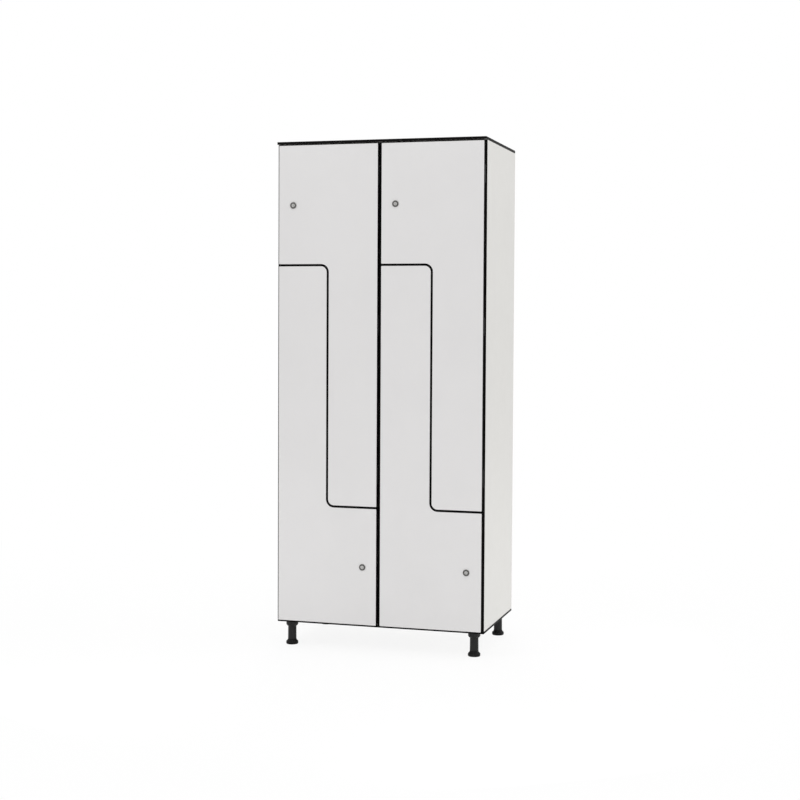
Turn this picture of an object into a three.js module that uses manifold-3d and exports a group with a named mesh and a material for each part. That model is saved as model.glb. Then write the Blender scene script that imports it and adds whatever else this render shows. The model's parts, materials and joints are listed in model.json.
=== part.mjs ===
// A free-standing locker of compact laminate: two columns, each closed by two interlocking L-shaped doors.
// Lengths are in millimetres. +Z is up, the doors face -Y, and the origin is on the floor under the middle.

import * as THREE from 'three';
import { mergeVertices } from 'three/addons/utils/BufferGeometryUtils.js';
import Module from 'manifold-3d';

const wasm = await Module();
wasm.setup();

// Carcass
const bodyWidth = 800;
const bodyHeight = 1800;
const bodyDepth = 490;
const legHeight = 90;
const sheet = 8;
const topSheet = 10;
const backSheet = 6;
const seam = 0.3;

// Doors
const doorSheet = 12;
const doorAir = 2;
const doorGap = 4.5;
const partitionReveal = 5.5;
const sideReveal = 6.5;
const topReveal = 2.5;
const bottomReveal = 7;
const upperWideHeight = 458;
const lowerWideHeight = 446;
const gapCornerRadius = 18;
const outerCornerRadius = 4;

// Hinges: a knuckle barrel let into a pocket behind a thin skin of the door's edge
const hingesPerDoor = 3;
const hingeLength = 64;
const knucklesPerHinge = 3;
const hingeFromEnd = 120;
const hingeAxisInset = 2.5;
const pocketSkin = 3.2;
const barrelRadius = 3.8;
const barrelClearance = 0.5;
const knuckleGap = 0.3;
const pinRadius = 1.5;
const pinClearance = 0.15;
const leafSheet = 1.8;
const leafSeat = 0.2;
const neckWidth = 2;
const doorLeafWidth = 30;
const frameLeafWidth = 38;

// Cam locks
const lockFromPanel = 56.5;
const lockFromGap = 222;
const bezelRadius = 12;
const bezelProud = 3.5;
const bezelChamfer = 1.2;
const lockBarrelRadius = 9.5;
const lockBarrelBehindDoor = 6.5;
const lockHoleClearance = 0.3;
const bezelSeat = 0.1;
const plugRadius = 6.3;
const plugClearance = 0.3;
const plugRecess = 0.8;
const plugTail = 0.4;
const keywayWidth = 1.6;
const keywayHeight = 8.4;
const keywayDepth = 7;
const tenonWidth = 7;
const tenonClearance = 0.3;
const tenonBehindCam = 0.6;
const camReach = 60;
const camWidth = 16;
const camSheet = 2.5;
const camSeat = 0.3;

// Slots that the cams turn into
const slotDepth = 5;
const slotClearance = 1;

// Adjustable legs
const legFromSide = 45;
const legFromFace = 52;
const legFromBack = 40;
const flangeRadius = 22.5;
const flangeHeight = 15;
const collarRadius = 18.5;
const collarHeight = 5;
const tubeRadius = 16;
const footHeight = 21;
const footGap = 0.4;
const footRadius = 23;
const footSoleRadius = 21;
const footSoleRise = 2.5;
const footRimHeight = 10;
const footNeckRadius = 16;
const stemRadius = 10;
const stemClearance = 0.4;
const stemLength = 52;
const boreAboveStem = 6;

// How round things are divided
const cornerSegments = 4;
const knuckleSides = 12;
const lockSides = 20;
const legSides = 20;
const cutOverrun = 1;

// Levels and planes worked out from the sizes above
const overallDepth = bodyDepth + bezelProud;
const doorFaceY = bezelProud - overallDepth / 2;
const backY = doorFaceY + bodyDepth;
const doorBackY = doorFaceY + doorSheet;
const carcassFrontY = doorBackY + doorAir;
const backPanelFrontY = backY - backSheet;
const floorPanelZ = legHeight;
const bodyTopZ = legHeight + bodyHeight;
const insideBottomZ = floorPanelZ + sheet;
const insideTopZ = bodyTopZ - topSheet;
const upperGapZ = bodyTopZ - upperWideHeight;
const lowerGapZ = floorPanelZ + lowerWideHeight;
const doorTopZ = insideTopZ - topReveal;
const doorBottomZ = floorPanelZ + bottomReveal;
const hingeAxisY = doorFaceY + pocketSkin + barrelClearance + barrelRadius;

// Depths of the lock's parts behind the door's face
const barrelEnd = doorSheet + lockBarrelBehindDoor;
const plugEnd = barrelEnd + plugTail;
const camFront = plugEnd + camSeat;
const camBack = camFront + camSheet;

// The two columns, from the outer side panel's inner face to the centre partition's face
const insideHalf = bodyWidth / 2 - sheet;
const partitionHalf = sheet / 2;
const columns = [
  {
    name: 'left',
    doorLowX: -bodyWidth / 2 + sideReveal,
    doorHighX: -partitionReveal,
    panelLowX: -insideHalf,
    panelHighX: -partitionHalf,
  },
  {
    name: 'right',
    doorLowX: partitionReveal,
    doorHighX: bodyWidth / 2 - sideReveal,
    panelLowX: partitionHalf,
    panelHighX: insideHalf,
  },
];

// Finishes
const finishes = {
  laminate: { color: 0xdcdcda, roughness: 0.5, metalness: 0 },
  doorLaminate: { color: 0xdedddb, roughness: 0.5, metalness: 0 },
  blackSteel: { color: 0x1b1b1c, roughness: 0.45, metalness: 0.8 },
  nickel: { color: 0x9c9995, roughness: 0.25, metalness: 1 },
  zincSteel: { color: 0xa9acae, roughness: 0.35, metalness: 1 },
  blackPlastic: { color: 0x232324, roughness: 0.55, metalness: 0 },
};

const locker = new THREE.Group();

function addPiece(name, geometry, finish, position = [0, 0, 0]) {
  const mesh = new THREE.Mesh(geometry, new THREE.MeshStandardMaterial(finishes[finish]));
  mesh.name = name;
  mesh.position.set(...position);
  locker.add(mesh);
}

// A block between two corners, whichever way round they are given
function block(xs, ys, zs) {
  const spans = [xs, ys, zs].map(([a, b]) => [Math.min(a, b), Math.max(a, b)]);
  const sizes = spans.map(([low, high]) => high - low);
  const middles = spans.map(([low, high]) => (low + high) / 2);
  return new THREE.BoxGeometry(...sizes).translate(...middles);
}

function upright(geometry) {
  return geometry.rotateX(Math.PI / 2);
}

function rod(radius, lowZ, highZ, sides) {
  const geometry = upright(new THREE.CylinderGeometry(radius, radius, highZ - lowZ, sides));
  return geometry.translate(0, 0, (lowZ + highZ) / 2);
}

function turned(points, sides) {
  const outline = points.map(([radius, height]) => new THREE.Vector2(radius, height));
  return new THREE.LatheGeometry(outline, sides);
}

// Booleans on closed meshes
function toSolid(geometry) {
  const bare = geometry.clone();
  bare.deleteAttribute('normal');
  bare.deleteAttribute('uv');
  const merged = mergeVertices(bare);
  return new wasm.Manifold(new wasm.Mesh({
    numProp: 3,
    vertProperties: Float32Array.from(merged.attributes.position.array),
    triVerts: Uint32Array.from(merged.index.array),
  }));
}

function toGeometry(solid) {
  const mesh = solid.getMesh();
  const geometry = new THREE.BufferGeometry();
  geometry.setAttribute('position', new THREE.BufferAttribute(mesh.vertProperties, mesh.numProp));
  geometry.setIndex(new THREE.BufferAttribute(mesh.triVerts, 1));
  geometry.computeVertexNormals();
  return geometry;
}

function joined(geometries) {
  return geometries.map(toSolid).reduce((whole, piece) => whole.add(piece));
}

function cut(solid, geometries) {
  return geometries.map(toSolid).reduce((rest, tool) => rest.subtract(tool), solid);
}

// One door of a column. The upper door is wide at the top and has its hinges on the right.
// The lower door is wide at the bottom and has its hinges on the left.
function describeDoor(column, level) {
  const upper = level === 'upper';
  const middleX = (column.doorLowX + column.doorHighX) / 2;
  const hingeEdgeX = upper ? column.doorHighX : column.doorLowX;
  const inboard = upper ? -1 : 1;
  const freePanelX = upper ? column.panelLowX : column.panelHighX;
  const hingePanelX = upper ? column.panelHighX : column.panelLowX;
  return {
    name: `${column.name}_${level}`,
    column,
    upper,
    middleX,
    inboard,
    hingeAxisX: hingeEdgeX + inboard * hingeAxisInset,
    hingeEdgeX,
    hingePanelX,
    freePanelX,
    lockX: freePanelX - inboard * lockFromPanel,
    lockZ: upper ? upperGapZ + lockFromGap : lowerGapZ - lockFromGap,
    hingeLowZ: upper ? lowerGapZ + doorGap / 2 : doorBottomZ,
    hingeHighZ: upper ? doorTopZ : upperGapZ - doorGap / 2,
  };
}

const doors = columns.flatMap((column) => ['upper', 'lower'].map((level) => describeDoor(column, level)));

function hingeHeights(door) {
  const lowest = door.hingeLowZ + hingeFromEnd;
  const highest = door.hingeHighZ - hingeFromEnd;
  const step = (highest - lowest) / (hingesPerDoor - 1);
  return Array.from({ length: hingesPerDoor }, (_, i) => lowest + i * step);
}

// An outline of right-angled corners, each [x, z, radius], with every corner rounded to its radius
function roundedOutline(corners) {
  const shape = new THREE.Shape();
  corners.forEach(([x, z, radius], i) => {
    const corner = new THREE.Vector2(x, z);
    const before = corners.at(i - 1);
    const after = corners[(i + 1) % corners.length];
    const toBefore = new THREE.Vector2(before[0], before[1]).sub(corner).normalize();
    const toAfter = new THREE.Vector2(after[0], after[1]).sub(corner).normalize();
    const start = corner.clone().addScaledVector(toBefore, radius);
    const centre = start.clone().addScaledVector(toAfter, radius);
    const clockwise = toBefore.cross(toAfter) > 0;
    const startAngle = start.clone().sub(centre).angle();
    const turn = clockwise ? -Math.PI / 2 : Math.PI / 2;
    shape.absarc(centre.x, centre.y, radius, startAngle, startAngle + turn, clockwise);
  });
  return shape;
}

function doorOutline(door) {
  const { doorLowX, doorHighX } = door.column;
  const half = doorGap / 2;
  const inner = gapCornerRadius;
  const edge = outerCornerRadius;
  if (door.upper) {
    return roundedOutline([
      [doorLowX, doorTopZ, edge],
      [doorLowX, upperGapZ + half, edge],
      [door.middleX + half, upperGapZ + half, inner],
      [door.middleX + half, lowerGapZ + half, inner],
      [doorHighX, lowerGapZ + half, edge],
      [doorHighX, doorTopZ, edge],
    ]);
  }
  return roundedOutline([
    [doorLowX, doorBottomZ, edge],
    [doorHighX, doorBottomZ, edge],
    [doorHighX, lowerGapZ - half, edge],
    [door.middleX - half, lowerGapZ - half, inner],
    [door.middleX - half, upperGapZ - half, inner],
    [doorLowX, upperGapZ - half, edge],
  ]);
}

// The pocket is open at the door's edge and at its back, so the frame leaf can swing through it
function hingePocket(door, z) {
  const edgeX = door.hingeEdgeX - door.inboard * cutOverrun;
  const wallX = door.hingeAxisX + door.inboard * (barrelRadius + barrelClearance);
  const halfLength = hingeLength / 2 + barrelClearance;
  return block(
    [edgeX, wallX],
    [doorFaceY + pocketSkin, doorBackY + cutOverrun],
    [z - halfLength, z + halfLength],
  );
}

function lockHole(door) {
  const length = doorSheet + 2 * cutOverrun;
  const hole = new THREE.CylinderGeometry(
    lockBarrelRadius + lockHoleClearance,
    lockBarrelRadius + lockHoleClearance,
    length,
    lockSides,
  );
  return hole.translate(door.lockX, (doorFaceY + doorBackY) / 2, door.lockZ);
}

function doorGeometry(door) {
  const slab = new THREE.ExtrudeGeometry(doorOutline(door), {
    depth: doorSheet,
    bevelEnabled: false,
    curveSegments: cornerSegments,
  });
  upright(slab).translate(0, doorBackY, 0);
  const pockets = hingeHeights(door).map((z) => hingePocket(door, z));
  return toGeometry(cut(toSolid(slab), [...pockets, lockHole(door)]));
}

// Carcass panels
function addCarcass() {
  const fullWidth = [-bodyWidth / 2, bodyWidth / 2];
  const standing = [insideBottomZ + seam, insideTopZ - seam];
  const inner = [carcassFrontY, backPanelFrontY - seam];
  const bottom = block(fullWidth, [carcassFrontY, backY], [floorPanelZ, insideBottomZ]);
  addPiece('bottom_panel', bottom, 'laminate');
  const top = block(fullWidth, [doorFaceY, backY], [insideTopZ, bodyTopZ]);
  addPiece('top_panel', top, 'laminate');

  const backSpan = [-insideHalf + seam, insideHalf - seam];
  addPiece('back_panel', block(backSpan, [backPanelFrontY, backY], standing), 'laminate');

  const leftSide = block([-bodyWidth / 2, -insideHalf], [carcassFrontY, backY], standing);
  addPiece('side_panel_left', withCamSlots(leftSide, [-insideHalf]), 'laminate');
  const rightSide = block([insideHalf, bodyWidth / 2], [carcassFrontY, backY], standing);
  addPiece('side_panel_right', withCamSlots(rightSide, [insideHalf]), 'laminate');
  const partition = block([-partitionHalf, partitionHalf], inner, standing);
  addPiece('centre_partition', withCamSlots(partition, [-partitionHalf, partitionHalf]), 'laminate');
}

// A panel with a slot for each cam that turns into one of its faces
function withCamSlots(panel, faces) {
  const locks = doors.filter((door) => faces.includes(door.freePanelX));
  return toGeometry(cut(toSolid(panel), locks.map(camSlot)));
}

function camSlot(door) {
  const rise = Math.sqrt(camReach ** 2 - lockFromPanel ** 2) + camWidth / 2 + slotClearance;
  const openX = door.freePanelX - door.inboard * cutOverrun;
  const endX = door.freePanelX + door.inboard * slotDepth;
  return block(
    [openX, endX],
    [doorFaceY + camFront - slotClearance, doorFaceY + camBack + slotClearance],
    [door.lockZ - rise, door.lockZ + rise],
  );
}

// The stepped divider between the two compartments of a column: two shelves and a standing panel
function addDivider(column) {
  const middleX = (column.doorLowX + column.doorHighX) / 2;
  const depth = [carcassFrontY, backPanelFrontY - seam];
  const half = sheet / 2;
  const upperZs = [upperGapZ - half, upperGapZ + half];
  const upperShelf = block([column.panelLowX + seam, middleX + half], depth, upperZs);
  addPiece(`${column.name}_upper_shelf`, upperShelf, 'laminate');
  const lowerZs = [lowerGapZ - half, lowerGapZ + half];
  const lowerShelf = block([middleX - half, column.panelHighX - seam], depth, lowerZs);
  addPiece(`${column.name}_lower_shelf`, lowerShelf, 'laminate');
  const standing = [lowerGapZ + half + seam, upperGapZ - half - seam];
  const innerDivider = block([middleX - half, middleX + half], depth, standing);
  addPiece(`${column.name}_inner_divider`, innerDivider, 'laminate');
}

// Hinge solids, with the axis at x = y = 0 and the hinge's middle at z = 0
const knuckleLength = hingeLength / knucklesPerHinge - knuckleGap;
const doorBackFromAxis = doorBackY - hingeAxisY;
const carcassFromAxis = carcassFrontY - hingeAxisY;

// The frame leaf carries the middle knuckle and the pin, and is screwed to the panel's face
function frameLeafGeometry(door) {
  const face = door.hingePanelX - door.hingeAxisX;
  const outerX = face + door.inboard * leafSeat;
  const innerX = outerX + door.inboard * leafSheet;
  const halfLength = hingeLength / 2;
  const halfKnuckle = knuckleLength / 2;
  const endY = carcassFromAxis + frameLeafWidth;
  return toGeometry(joined([
    rod(barrelRadius, -halfKnuckle, halfKnuckle, knuckleSides),
    rod(pinRadius, -halfLength, halfLength, knuckleSides),
    block([outerX, innerX], [0, endY], [-halfKnuckle, halfKnuckle]),
    block([outerX, innerX], [barrelRadius + barrelClearance, endY], [-halfLength, halfLength]),
  ]));
}

// The door leaf carries the two end knuckles, and is screwed to the door's back
function doorLeafGeometry(door) {
  const neckX = barrelRadius - neckWidth;
  const lowY = doorBackFromAxis + leafSeat / 2;
  const highY = lowY + leafSheet - leafSeat;
  const halfLength = hingeLength / 2;
  const innerZ = halfLength - knuckleLength;
  const solids = [block([door.inboard * neckX, door.inboard * (neckX + doorLeafWidth)], [lowY, highY],
    [-halfLength, halfLength])];
  const bores = [];
  for (const end of [-1, 1]) {
    const span = [end * innerZ, end * halfLength];
    solids.push(rod(barrelRadius, Math.min(...span), Math.max(...span), knuckleSides));
    solids.push(block([door.inboard * neckX, door.inboard * barrelRadius], [0, highY], span));
    const boreSpan = [Math.min(...span) - cutOverrun, Math.max(...span) + cutOverrun];
    bores.push(rod(pinRadius + pinClearance, ...boreSpan, knuckleSides));
  }
  return toGeometry(cut(joined(solids), bores));
}

function addHinges(door) {
  hingeHeights(door).forEach((z, i) => {
    const place = [door.hingeAxisX, hingeAxisY, z];
    addPiece(`hinge_${door.name}_${i + 1}_frame_leaf`, frameLeafGeometry(door), 'blackSteel', place);
    addPiece(`hinge_${door.name}_${i + 1}_door_leaf`, doorLeafGeometry(door), 'blackSteel', place);
  });
}

// Lock solids, with the axis along Y through x = z = 0 and the door's face at y = 0
function lockHousingGeometry() {
  const bore = plugRadius + plugClearance;
  return turned([
    [bore, barrelEnd],
    [bore, -bezelProud],
    [bezelRadius - bezelChamfer, -bezelProud],
    [bezelRadius, bezelChamfer - bezelProud],
    [bezelRadius, -bezelSeat],
    [lockBarrelRadius, -bezelSeat],
    [lockBarrelRadius, barrelEnd],
    [bore, barrelEnd],
  ], lockSides);
}

function lockPlugGeometry() {
  const face = plugRecess - bezelProud;
  const cylinder = turned([[0, face], [plugRadius, face], [plugRadius, plugEnd], [0, plugEnd]], lockSides);
  const half = tenonWidth / 2;
  const tenonYs = [face + keywayDepth + cutOverrun, camBack + tenonBehindCam];
  const tenon = block([-half, half], tenonYs, [-half, half]);
  const keyway = block(
    [-keywayWidth / 2, keywayWidth / 2],
    [face - cutOverrun, face + keywayDepth],
    [-keywayHeight / 2, keywayHeight / 2],
  );
  return toGeometry(cut(joined([cylinder, tenon]), [keyway]));
}

// The cam hangs down when the lock is open, and turns to the free edge to lock
function lockCamGeometry() {
  const half = camWidth / 2;
  const outline = new THREE.Shape();
  outline.absarc(0, 0, half, 0, Math.PI, false);
  outline.absarc(0, half - camReach, half, Math.PI, 2 * Math.PI, false);
  const plate = new THREE.ExtrudeGeometry(outline, {
    depth: camSheet,
    bevelEnabled: false,
    curveSegments: cornerSegments,
  });
  upright(plate).translate(0, camBack, 0);
  const holeHalf = tenonWidth / 2 + tenonClearance;
  const holeYs = [camFront - cutOverrun, camBack + cutOverrun];
  const hole = block([-holeHalf, holeHalf], holeYs, [-holeHalf, holeHalf]);
  return toGeometry(cut(toSolid(plate), [hole]));
}

function addLock(door) {
  const place = [door.lockX, doorFaceY, door.lockZ];
  addPiece(`lock_${door.name}_housing`, lockHousingGeometry(), 'nickel', place);
  addPiece(`lock_${door.name}_plug`, lockPlugGeometry(), 'nickel', place);
  addPiece(`lock_${door.name}_cam`, lockCamGeometry(), 'zincSteel', place);
}

// Leg solids, standing on z = 0 under the leg's axis
function legBodyGeometry() {
  const seatZ = legHeight - seam;
  const collarZ = seatZ - flangeHeight;
  const rimZ = footHeight + footGap;
  const bore = stemRadius + stemClearance;
  const boreTopZ = footHeight + stemLength + boreAboveStem;
  return upright(turned([
    [0, boreTopZ],
    [bore, boreTopZ],
    [bore, rimZ],
    [tubeRadius, rimZ],
    [tubeRadius, collarZ - collarHeight],
    [collarRadius, collarZ - collarHeight],
    [flangeRadius, collarZ],
    [flangeRadius, seatZ],
    [0, seatZ],
  ], legSides));
}

function legFootGeometry() {
  const stemTopZ = footHeight + stemLength;
  return upright(turned([
    [0, 0],
    [footSoleRadius, 0],
    [footRadius, footSoleRise],
    [footRadius, footRimHeight],
    [footNeckRadius, footHeight],
    [stemRadius, footHeight],
    [stemRadius, stemTopZ],
    [0, stemTopZ],
  ], legSides));
}

function addLegs() {
  const legX = bodyWidth / 2 - legFromSide;
  const rows = [['front', doorFaceY + legFromFace], ['back', backY - legFromBack]];
  const sides = [['left', -legX], ['right', legX]];
  for (const [row, y] of rows) {
    for (const [side, x] of sides) {
      addPiece(`leg_${row}_${side}_body`, legBodyGeometry(), 'blackPlastic', [x, y, 0]);
      addPiece(`leg_${row}_${side}_foot`, legFootGeometry(), 'blackPlastic', [x, y, 0]);
    }
  }
}

addCarcass();
columns.forEach(addDivider);
for (const door of doors) {
  addPiece(`door_${door.name}`, doorGeometry(door), 'doorLaminate');
  addHinges(door);
  addLock(door);
}
addLegs();

export default locker;
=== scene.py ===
# The looks of a two-column locker with interlocking L-shaped doors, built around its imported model.
# Everything is in metres: sizes are written in millimetres times MM. +Z is up and the doors face -Y.

import json
import math

import bmesh
import bpy
from mathutils import Matrix, Vector


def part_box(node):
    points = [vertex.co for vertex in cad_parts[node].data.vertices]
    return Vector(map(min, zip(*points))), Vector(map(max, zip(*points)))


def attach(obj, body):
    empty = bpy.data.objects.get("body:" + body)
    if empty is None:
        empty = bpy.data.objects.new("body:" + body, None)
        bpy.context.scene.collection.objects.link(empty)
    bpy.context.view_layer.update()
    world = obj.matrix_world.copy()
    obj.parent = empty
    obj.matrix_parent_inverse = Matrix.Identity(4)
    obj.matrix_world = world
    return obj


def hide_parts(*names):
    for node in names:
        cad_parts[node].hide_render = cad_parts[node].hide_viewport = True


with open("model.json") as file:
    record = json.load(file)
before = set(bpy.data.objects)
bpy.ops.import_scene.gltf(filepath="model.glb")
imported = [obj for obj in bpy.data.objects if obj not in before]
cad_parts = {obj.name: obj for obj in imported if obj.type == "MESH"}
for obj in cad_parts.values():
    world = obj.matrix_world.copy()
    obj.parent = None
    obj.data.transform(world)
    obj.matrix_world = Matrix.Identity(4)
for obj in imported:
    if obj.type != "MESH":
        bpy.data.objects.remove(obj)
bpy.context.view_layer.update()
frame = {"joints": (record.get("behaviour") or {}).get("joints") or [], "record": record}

MM = 0.001
TURN = 2 * math.pi
X, Y, Z = range(3)

# The camera, fitted to the edges, the door gaps and the legs in the photograph.
# Its sensor and lens are in millimetres, and its angles in degrees.
SENSOR_WIDTH = 36
LENS = 68.279
SHIFT_UP = -0.025
CAMERA_PLACE = (1.6415, -5.5694, 1.2346)
CAMERA_YAW = 16.326
CAMERA_PITCH = 2.308
CAMERA_ROLL = 0.300

# Sheets of laminate
PANEL_ARRIS = 1.1 * MM
SHEET_CORNER = 1.5 * MM
DOOR_ARRIS = 2 * MM
DOOR_CORNER = 4 * MM
DOOR_GAP = 4.5 * MM
GAP_CORNER = 24 * MM
GAP_FILLET = GAP_CORNER + DOOR_GAP

# How far cutters reach past what they cut, and a hair's breadth
OVERRUN = 1 * MM
HAIR = 0.01 * MM
# How much of a face's normal has to lie along an axis for the face to count as square to it
FLAT_SHARE = 0.999

# Hinges, measured from their axis
HINGE_HALF = 32 * MM
KNUCKLE_RADIUS = 3.8 * MM
KNUCKLE_EDGE = 0.35 * MM
KNUCKLE_HALF = 10.52 * MM
KNUCKLE_START = 10.97 * MM
PIN_RADIUS = 1.5 * MM
PIN_DOME = 0.6 * MM
PIN_BORE = 1.65 * MM
POCKET_SIDE = 4.3 * MM
POCKET_HALF = 32.5 * MM
POCKET_CORNER = 1 * MM
POCKET_SKIN = 3.2 * MM
POCKET_OVERRUN = 3 * MM
LEAF_EDGE = 0.3 * MM
LEAF_CORNER = 4 * MM
FRAME_LEAF_SEAT = 0.2 * MM
FRAME_LEAF_SHEET = 1.8 * MM
FRAME_LEAF_START = 4.3 * MM
FRAME_LEAF_END = 44.5 * MM
DOOR_LEAF_INNER = 1.8 * MM
DOOR_LEAF_REACH = 31.8 * MM
DOOR_LEAF_FRONT = 4.6 * MM
DOOR_LEAF_BACK = 6.2 * MM
LEAF_SCREW_SHARES = ((0.28, 0.64), (0.68, 0.0), (0.28, -0.64))

# Locks, measured behind the door's face
BEZEL_RADIUS = 12 * MM
BEZEL_FRONT = -3.5 * MM
BEZEL_EDGE = 1.3 * MM
BEZEL_SEAT = -0.1 * MM
BEZEL_LAND = 9.6 * MM
BEZEL_STEP = 0.45 * MM
LOCK_HOLE = 9.8 * MM
BARREL_RADIUS = 9.5 * MM
BARREL_END = 18.5 * MM
BARREL_EDGE = 0.6 * MM
BARREL_PITCH = 1.25 * MM
BARREL_THREAD = 0.55 * MM
PLUG_BORE = 6.6 * MM
PLUG_RADIUS = 6.3 * MM
PLUG_FRONT = -2.7 * MM
PLUG_EDGE = 0.35 * MM
PLUG_END = 18.9 * MM
KEYWAY_WIDTH = 1.6 * MM
KEYWAY_HEIGHT = 8.4 * MM
KEYWAY_DEPTH = 7 * MM
KEYWAY_MOUTH = 0.3 * MM
TENON_WIDTH = 7 * MM
TENON_END = 22.3 * MM
TENON_EDGE = 0.5 * MM
CAM_FRONT = 19.2 * MM
CAM_BACK = 21.7 * MM
CAM_WIDTH = 16 * MM
CAM_REACH = 60 * MM
CAM_HOLE = 7.6 * MM
CAM_EDGE = 0.3 * MM
WASHER_RADIUS = 13.5 * MM
WASHER_FRONT = 12.05 * MM
WASHER_BACK = 13 * MM
WASHER_EDGE = 0.3 * MM
NUT_BACK = 16.6 * MM
NUT_FLAT = 12 * MM
NUT_FACE = 12.3 * MM
NUT_CHAMFER = 0.6 * MM
NUT_SIDES = 6
TAIL_WASHER_RADIUS = 6.2 * MM
TAIL_WASHER_SHEET = 1.1 * MM
TAIL_HEAD_RADIUS = 4.4 * MM
TAIL_HEAD_HEIGHT = 2.8 * MM
TAIL_HEAD_EDGE = 1.1 * MM
TAIL_RIM_SHARE = 0.7

# Slots that the cams turn into
SLOT_DEPTH = 5 * MM
SLOT_FRONT = 18.2 * MM
SLOT_BACK = 22.7 * MM
SLOT_HALF = 29.19 * MM

# Countersunk screws: the radius of each kind's head, and shares of that radius
SHEET_SCREW = 2.9 * MM
LEAF_SCREW = 3.3 * MM
LEG_SCREW = 4.6 * MM
SCREW_SINK = 0.08 * MM
SCREW_CLEARANCE = 0.12 * MM
SHANK_SHARE = 0.5
HEAD_DEPTH_SHARE = 0.52
SHANK_END_SHARE = 1.1
RECESS_SHARE = 0.5
RECESS_DEPTH_SHARE = 0.45
RECESS_FLOOR_SHARE = 0.9
RECESS_MOUTH_SHARE = 1.08
LOBE_SHARE = 0.085
LOBES = 6

# Where screws stand along the standing panels' depth, and along the sheets that the back is screwed to
DEPTH_SHARES = (0.1, 0.5, 0.9)
PARTITION_SHARES = (0.04, 0.35, 0.65, 0.96)
SHELF_SHARES = (0.25, 0.75)
DIVIDER_SHARES = (0.2, 0.8)

# Adjustable legs, measured from the floor
FLANGE_RADIUS = 22.5 * MM
FLANGE_LOW = 74.7 * MM
FLANGE_TOP = 89.7 * MM
COLLAR_RADIUS = 18.5 * MM
COLLAR_LOW = 69.7 * MM
TUBE_TOP_RADIUS = 15.6 * MM
TUBE_RADIUS = 16.1 * MM
TUBE_LOW = 21.4 * MM
TUBE_BORE = 10.4 * MM
TUBE_BORE_TOP = 79 * MM
SOLE_RADIUS = 21 * MM
FOOT_RADIUS = 23 * MM
SOLE_RISE = 2.5 * MM
FOOT_RIM = 10 * MM
FOOT_SHOULDER = 17 * MM
FOOT_NECK = 16.6 * MM
FOOT_TOP = 21 * MM
STEM_RADIUS = 10 * MM
STEM_TOP = 73 * MM
STEM_PITCH = 3.2 * MM
STEM_THREAD = 1 * MM
MOULDED_EDGE = 0.6 * MM
MOULDED_FILLET = 3 * MM
COLLAR_EDGE = 1 * MM

# How finely round things are divided, how wide a turned end's middle face is, and where shading breaks
ARC_STEPS = 8
EDGE_STEPS = 5
CAM_STEPS = 16
THREAD_STEPS = 6
HINGE_SIDES = 32
LOCK_SIDES = 48
LEG_SIDES = 48
SCREW_SIDES = 36
CAP_SHARE = 0.5
SHARP_ANGLE = math.radians(20.5)

# Colours, in linear light: one for each plain finish, and the darkest and the palest of each mottled one
PANEL_TONE = (0.711, 0.702, 0.676)
DOOR_TONE = (0.704, 0.695, 0.694)
# The bezel's nickel is far darker than satin nickel's own colour: painted dark reflection and shade on
# the lock's ring
BEZEL_PAINTED_DARK_TONE = (0.14, 0.137, 0.132)
# The plug is the same nickel in a paler tone: a painted highlight in the middle of the lock
PLUG_PAINTED_HIGHLIGHT_TONE = (0.52, 0.515, 0.505)
CORE_TONES = ((0.002, 0.0019, 0.0019), (0.005, 0.0047, 0.0045))
COAT_TONES = ((0.009, 0.009, 0.0095), (0.017, 0.017, 0.018))
ZINC_TONES = ((0.36, 0.365, 0.37), (0.56, 0.57, 0.57))
STAINLESS_TONES = ((0.42, 0.42, 0.41), (0.6, 0.6, 0.59))
PLASTIC_TONES = ((0.0065, 0.0065, 0.0068), (0.0125, 0.0122, 0.0122))
DULL_SHARE = 0.985
PALE_SHARE = 1.012
TARNISH_SHARE = 0.86

# Textures: the core's pressed layers, and how much of a mottled colour comes from its large clouds
LAYER_THICKNESS = 0.3 * MM
LAYER_LENGTH = 14 * MM
CLOUD_SHARE = 0.7

# Light: the world's strength on the object and behind it
AMBIENT = 0.76
BACKGROUND = 1.0
WHITE = (1.0, 1.0, 1.0, 1.0)
# The floor: how much of its own shading shows, and how far out it shows whole and not at all
FLOOR_COLOUR = (0.92, 0.92, 0.92, 1.0)
FLOOR_HALF = 40.0
SHADE_SHARE = 0.13
SHADE_WHOLE = 1.0
SHADE_GONE = 3.2
# Each lamp's place, the point that it faces, its width and its power
LAMPS = {
    "high_left": ((-1.6, -2.2, 3.2), (0, 0, 1.9), 1.2, 13.5),
    "high_right": ((1.4, -2.4, 3.2), (0.2, 0, 1.9), 1.2, 13.5),
    "low_left": ((-0.9, -1.4, 0.15), (-0.2, -0.2, 0.1), 0.5, 1.4),
    "low_right": ((0.9, -1.6, 0.2), (0, -0.2, 0.1), 0.5, 2.0),
    "side_high": ((2.6, 0.2, 3.0), (0.4, 0, 1.8), 1.2, 9.8),
    "side_low": ((1.2, 0.15, 0.12), (0.4, 0, 0.1), 0.4, 0.9),
    "rear": ((-1.2, 4.2, 2.4), (0, 0, 0.95), 2.6, 50),
}

SIDES = ("left", "right")
LEVELS = ("upper", "lower")
ROWS = ("front", "back")
HINGES = (1, 2, 3)

body_of_node = {
    node: body
    for body, nodes in frame["record"]["behaviour"]["bodies"].items()
    for node in nodes
}


def joint_place(name):
    joint = next(j for j in frame["joints"] if j["name"] == name)
    return Vector(joint["pos_m"])


def middle(node):
    low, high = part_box(node)
    return (low + high) / 2


def between(low, high, share):
    return low + (high - low) * share


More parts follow.
